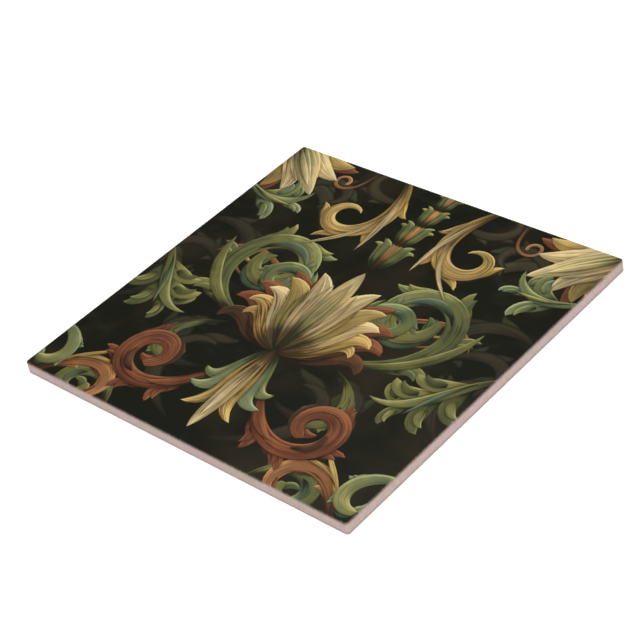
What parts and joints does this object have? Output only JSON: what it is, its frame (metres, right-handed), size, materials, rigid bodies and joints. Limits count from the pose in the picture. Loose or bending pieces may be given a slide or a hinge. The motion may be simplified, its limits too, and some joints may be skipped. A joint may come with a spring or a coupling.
{
  "type": "printed ceramic tile",
  "caption": "Square glazed ceramic wall tile with a flat painted acanthus scroll design, a rolled glazed edge, bare clay sides and a pocketed back for adhesive.",
  "frame": {"origin": "middle of the tile's underside, in the plane of the lands that it rests on and is glued by", "axes": "+Z out of the glazed face, +Y up the printed design, +X to the design's right"},
  "size_m": [0.152, 0.152, 0.005],
  "materials": {
    "glazed_ceramic": "satin-gloss glaze over a flat printed acanthus design in green, gold, cream and russet on near-black; bare pinkish clay sides and back"
  },
  "bodies": {
    "root": {"ceramic_tile": "glazed_ceramic"}
  },
  "joints": []
}
